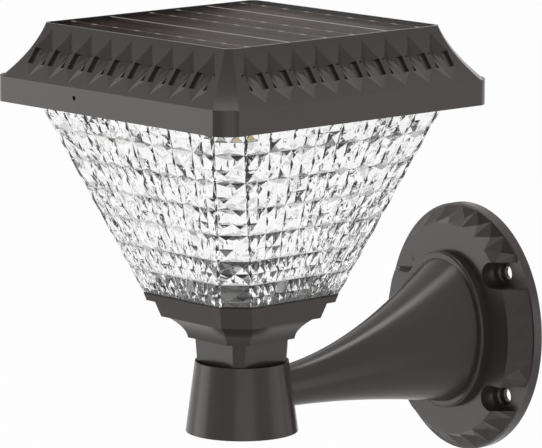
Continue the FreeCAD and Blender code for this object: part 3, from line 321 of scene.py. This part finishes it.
# Seals: rings of black foam rubber, cut from sheet and laid between the pieces that they seal,
# at the lens's foot, at its rim and round the tray.
seal_rubber = dressed("seal_rubber", "foot_seal_ring", "lens_rim_seal", "tray_seal")
tree, shader = tree_and_shader(seal_rubber)
mottled_colour(tree, shader, scale=60, low=(0.02, 0.02, 0.02), high=(0.035, 0.034, 0.033))
mottled_gloss(tree, shader, scale=80, low=0.75, high=0.9)
grained(tree, shader, scale=1800, depth=0.0001)

# Lens: clear moulded plastic with a cut-glass pattern. Outside, each side has eight columns and seven
# rows of low pyramids, and each cut corner one column. Between the rows run satin grooves, tinted grey
# as painted shade, and half way up each cell a short groove tinted black as painted shade parts the
# columns.
# Inside, cells of half the size break the light.
lens_low, lens_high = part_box("lens")
lens_top_half = (lens_high.x - lens_low.x) / 2
lens_bottom_half = 0.0372
lens_corner = 0.0106
lens_wall = 0.0025
lens_inner_corner = lens_corner - lens_wall * (2 - math.sqrt(2))
row_heights = [0.0133, 0.0136, 0.0133, 0.0129, 0.0131, 0.0121, 0.0114]
row_levels = [lens_high.z - sum(row_heights[:row]) for row in range(len(row_heights))] + [lens_low.z]
outer_columns = 8
outer_corner_columns = 1
outer_relief = 0.0010
row_groove_reach = 0.3
column_groove_reach = 0.14
groove_rise = 0.0003
column_line_parts = 3
# Material slots of the groove facets: grey painted shade along the rows, black painted shade across the
# columns.
satin_shade_index = 1
column_shade_index = 2
inner_columns = 2 * outer_columns
inner_corner_columns = 2 * outer_corner_columns
inner_relief = 0.0005
inner_corner_relief = 0.0008
wander_scale = 400
wander = 0.0017
wander_middle = Vector((0.5, 0.5, 0.5))
level_slack = 1e-6
slant_slack = 0.0001


def lens_ring(bm, wall, corner, z):
    """Corner points of the lens's cut-corner square at a height, anticlockwise."""
    share = (z - lens_low.z) / (lens_high.z - lens_low.z)
    half = lens_bottom_half + (lens_top_half - lens_bottom_half) * share - wall
    near = half - corner
    places = [(near, -half), (half, -near), (half, near), (near, half),
              (-near, half), (-half, near), (-half, -near), (-near, -half)]
    return [bm.verts.new((x, y + lamp_axis.y, z)) for x, y in places]


def is_level(edge):
    """True for an edge that runs along a row."""
    return abs(edge.verts[0].co.z - edge.verts[1].co.z) < level_slack


def is_slanted(edge):
    """True for an edge that runs across a cut corner."""
    run = edge.verts[0].co - edge.verts[1].co
    return abs(run.x) > slant_slack and abs(run.y) > slant_slack


def lens_cells(bm, levels, wall, corner, columns, corner_columns, inwards):
    """The lens's eight sides, divided into rows and columns of flat cells."""
    old_faces = set(bm.faces)
    rings = [lens_ring(bm, wall, corner, z) for z in levels]
    for upper, lower in zip(rings, rings[1:]):
        for index in range(len(lower)):
            after = (index + 1) % len(lower)
            corners = [lower[index], lower[after], upper[after], upper[index]]
            bm.faces.new(reversed(corners) if inwards else corners)
    level_edges = [edge for edge in bm.edges if is_level(edge) and edge.link_faces[0] not in old_faces]
    side_edges = [edge for edge in level_edges if not is_slanted(edge)]
    corner_edges = [edge for edge in level_edges if is_slanted(edge)]
    bmesh.ops.subdivide_edges(bm, edges=side_edges, cuts=columns - 1, use_grid_fill=True)
    if corner_columns > 1:
        bmesh.ops.subdivide_edges(bm, edges=corner_edges, cuts=corner_columns - 1, use_grid_fill=True)
    return [face for face in bm.faces if face not in old_faces]


def cut_groove(bm, flank, tips):
    """Poke a pyramid's flank near its foot; the facet below the new point is the groove.

    A flank that stands on a row line gets a satin groove along its whole foot, tinted grey as painted
    shade. One that stands on a column line has its foot in three parts, and only the middle one gets a
    short groove tinted black as painted shade.
    """
    flank.normal_update()
    rise = flank.normal * groove_rise
    tip = next(vert for vert in flank.verts if vert in tips)
    foot = [vert for vert in flank.verts if vert is not tip]
    foot_middle = sum((vert.co for vert in foot), Vector()) / len(foot)
    foot.sort(key=lambda vert: (vert.co - foot_middle).length)
    along_row = len(foot) == 2
    reach = row_groove_reach if along_row else column_groove_reach
    poked = bmesh.ops.poke(bm, faces=[flank])
    poked["verts"][0].co = foot_middle.lerp(tip.co, reach) + rise
    for facet in poked["faces"]:
        if foot[0] in facet.verts and foot[1] in facet.verts:
            facet.material_index = satin_shade_index if along_row else column_shade_index


bm = bmesh.new()
outer_cells = lens_cells(bm, row_levels, wall=0, corner=lens_corner, columns=outer_columns,
                         corner_columns=outer_corner_columns, inwards=False)
upright_edges = [edge for edge in bm.edges if not is_level(edge)]
bm.normal_update()
bmesh.ops.poke(bm, faces=outer_cells, offset=outer_relief)
bmesh.ops.subdivide_edges(bm, edges=upright_edges, cuts=column_line_parts - 1)
tips = {vert for vert in bm.verts if len(vert.link_edges) == 4}
for flank in [face for face in bm.faces if tips & set(face.verts)]:
    cut_groove(bm, flank, tips)
halfway_levels = [(high + low) / 2 for high, low in zip(row_levels, row_levels[1:])]
inner_levels = sorted(row_levels + halfway_levels, reverse=True)
inner_cells = lens_cells(bm, inner_levels, wall=lens_wall, corner=lens_inner_corner,
                         columns=inner_columns, corner_columns=inner_corner_columns, inwards=True)
corner_cells = [face for face in inner_cells
                if any(is_slanted(edge) and is_level(edge) for edge in face.edges)]
side_cells = [face for face in inner_cells if face not in corner_cells]
bm.normal_update()
inner_tips = bmesh.ops.poke(bm, faces=side_cells, offset=inner_relief)["verts"]
inner_tips += bmesh.ops.poke(bm, faces=corner_cells, offset=inner_corner_relief)["verts"]
for tip in inner_tips:
    tip.co += (noise.cell_vector(tip.co * wander_scale) - wander_middle) * wander
for z in (lens_high.z, lens_low.z):
    rims = [edge for edge in bm.edges if edge.is_boundary
            and all(abs(vert.co.z - z) < level_slack for vert in edge.verts)]
    bmesh.ops.bridge_loops(bm, edges=rims)
bmesh.ops.recalc_face_normals(bm, faces=bm.faces)
lens_mesh = bpy.data.meshes.new("cut_lens")
bm.to_mesh(lens_mesh)
bm.free()
cut_lens = bpy.data.objects.new("cut_lens", lens_mesh)
bpy.context.collection.objects.link(cut_lens)
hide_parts("lens")
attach(cut_lens, "head")


def lens_plastic(name, low, high, smoothest, roughest):
    """Transmitting plastic with a tint that drifts a little, as a further material of the lens; on the
    grooves the grey and black tints are painted shade.
    """
    material = bpy.data.materials.new(name)
    lens_mesh.materials.append(material)
    tree, shader = tree_and_shader(material)
    shader.inputs["Transmission Weight"].default_value = 1
    shader.inputs["IOR"].default_value = 1.49
    mottled_colour(tree, shader, scale=70, low=low, high=high)
    mottled_gloss(tree, shader, scale=90, low=smoothest, high=roughest)


lens_plastic("clear_lens", low=(0.98, 0.98, 0.98), high=(1, 1, 1), smoothest=0, roughest=0.03)
# The grooves' satin roughness is the plastic's own; their grey and black tints are painted shade.
lens_plastic("satin_row_groove_painted_shade", low=(0.38, 0.377, 0.372), high=(0.62, 0.616, 0.61), smoothest=0.1,
             roughest=0.2)
lens_plastic("column_groove_painted_shade", low=(0, 0, 0), high=(0.01, 0.01, 0.01), smoothest=0.1, roughest=0.2)

# Reflectors and light board: silver-grey plates under the tray and round the hub, their grey darkened as
# painted shade for the inside of the lens, and a white board with rows of yellow chips, screwed to the
# tray's underside so that it shines down into the lens.
reflector_painted_shade = dressed("reflector_painted_shade", "reflector", "foot_reflector")
tree, shader = tree_and_shader(reflector_painted_shade)
mottled_colour(tree, shader, scale=40, low=(0.25, 0.25, 0.24), high=(0.3, 0.3, 0.29))
mottled_gloss(tree, shader, scale=60, low=0.25, high=0.35)
board_white = dressed("board_white", "led_board")
tree, shader = tree_and_shader(board_white)
mottled_colour(tree, shader, scale=90, low=(0.6, 0.6, 0.58), high=(0.7, 0.7, 0.68))
mottled_gloss(tree, shader, scale=90, low=0.3, high=0.4)
led_phosphor = dressed("led_phosphor", "leds")
tree, shader = tree_and_shader(led_phosphor)
mottled_colour(tree, shader, scale=400, low=(0.8, 0.6, 0.12), high=(0.85, 0.68, 0.2))
mottled_gloss(tree, shader, scale=400, low=0.3, high=0.5)

# Works above the tray: a green control board with its black parts, the battery in a blue sleeve in its
# cradle, and the push switch, whose rubber button hangs down through the tray. The light pipe behind
# the skirt's pinhole is dark while the light is off.
board_green = dressed("board_green", "control_board")
tree, shader = tree_and_shader(board_green)
mottled_colour(tree, shader, scale=200, low=(0.01, 0.07, 0.03), high=(0.015, 0.1, 0.04))
mottled_gloss(tree, shader, scale=200, low=0.3, high=0.45)
black_parts = dressed("black_parts", "board_parts", "battery_holder", "switch_body", "power_button")
tree, shader = tree_and_shader(black_parts)
mottled_colour(tree, shader, scale=90, low=(0.018, 0.018, 0.018), high=(0.03, 0.03, 0.03))
mottled_gloss(tree, shader, scale=120, low=0.45, high=0.65)
grained(tree, shader, scale=2000, depth=0.00004)
battery_sleeve = dressed("battery_sleeve", "battery_cell")
tree, shader = tree_and_shader(battery_sleeve)
mottled_colour(tree, shader, scale=50, low=(0.02, 0.08, 0.25), high=(0.03, 0.1, 0.3))
mottled_gloss(tree, shader, scale=90, low=0.25, high=0.35)
light_pipe = dressed("light_pipe", "status_pipe")
tree, shader = tree_and_shader(light_pipe)
mottled_colour(tree, shader, scale=300, low=(0.02, 0.02, 0.02), high=(0.04, 0.04, 0.04))
mottled_gloss(tree, shader, scale=300, low=0.3, high=0.4)

# Solar panel: three strips of dark silicon with dull tinned ribbons, on a pale backsheet.
# Backsheet, cells and glass are bonded into one flat sheet, so that the cells hardly mirror.
bonded_ior = 1.02
backsheet = dressed("panel_backsheet", "solar_backsheet")
tree, shader = tree_and_shader(backsheet)
mottled_colour(tree, shader, scale=60, low=(0.5, 0.45, 0.42), high=(0.6, 0.54, 0.5))
mottled_gloss(tree, shader, scale=60, low=0.4, high=0.5)
cells = dressed("silicon_cells", "solar_cells")
tree, shader = tree_and_shader(cells)
mottled_colour(tree, shader, scale=12, low=(0.045, 0.03, 0.025), high=(0.1, 0.064, 0.052))
mottled_gloss(tree, shader, scale=120, low=0.3, high=0.4)
shader.inputs["IOR"].default_value = bonded_ior
ribbon = dressed("busbar_tin", "cell_ribbons")
tree, shader = tree_and_shader(ribbon)
mottled_colour(tree, shader, scale=200, low=(0.07, 0.058, 0.052), high=(0.12, 0.1, 0.09))
mottled_gloss(tree, shader, scale=200, low=0.3, high=0.45)
shader.inputs["IOR"].default_value = bonded_ior

# Gap tapes and solder pads: tinned strips over the two gaps between the cells, right across the
# panel, and short pads along the four busbars with a fine wire from pad to pad. They lie just under
# the glass's face, because thick glass seen this flat lifts what is under it almost to the top.
pane_low, pane_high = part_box("solar_glass")
print_sunk = 0.0002
print_level = pane_high.z - print_sunk
print_thickness = 0.00005
gap_places = (-0.026, 0.034)
tape_spare = 0.001
tape_length = pane_high.x - pane_low.x - tape_spare
tape_width = 0.0011
busbar_places = (-0.0505, -0.003, 0.0135, 0.054)
pad_count = 9
pad_pitch = 0.0151
pad_length = 0.0032
pad_width = 0.0012
wire_spare = 0.0001
wire_length = pad_pitch - pad_length - wire_spare
wire_width = 0.00012


def flat_print(bm, across, along, length, width):
    """A flat strip at a place on the panel."""
    strip = bmesh.ops.create_grid(bm, x_segments=1, y_segments=1, size=0.5)["verts"]
    bmesh.ops.scale(bm, verts=strip, vec=(length, width, 1))
    bmesh.ops.translate(bm, verts=strip, vec=(across, lamp_axis.y + along, print_level))


bm = bmesh.new()
for gap in gap_places:
    flat_print(bm, 0, gap, tape_length, tape_width)
for busbar in busbar_places:
    for pad in range(pad_count):
        pad_middle = (pad - (pad_count - 1) / 2) * pad_pitch
        flat_print(bm, pad_middle, busbar, pad_length, pad_width)
    for wire in range(pad_count - 1):
        wire_middle = (wire - (pad_count - 2) / 2) * pad_pitch
        flat_print(bm, wire_middle, busbar, wire_length, wire_width)
bmesh.ops.solidify(bm, geom=list(bm.faces), thickness=print_thickness)
print_mesh = bpy.data.meshes.new("tapes_and_pads")
bm.to_mesh(print_mesh)
bm.free()
tapes_and_pads = bpy.data.objects.new("tapes_and_pads", print_mesh)
bpy.context.collection.objects.link(tapes_and_pads)
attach(tapes_and_pads, "cap")
tape_tin = bpy.data.materials.new("tape_tin")
print_mesh.materials.append(tape_tin)
tree, shader = tree_and_shader(tape_tin)
mottled_colour(tree, shader, scale=150, low=(0.6, 0.52, 0.47), high=(0.8, 0.72, 0.66))
mottled_gloss(tree, shader, scale=150, low=0.3, high=0.45)

# Panel glass: one flat pane over the cells, let into the roof's top a hair below its edge.
# Its face is treated against glare, so that it mirrors little and the cells show through.
glass = dressed("panel_glass", "solar_glass")
tree, shader = tree_and_shader(glass)
mottled_colour(tree, shader, scale=20, low=(0.015, 0.015, 0.016), high=(0.02, 0.02, 0.021))
mottled_gloss(tree, shader, scale=40, low=0.05, high=0.09)
shader.inputs["IOR"].default_value = 1.11
shader.inputs["Alpha"].default_value = 0.14
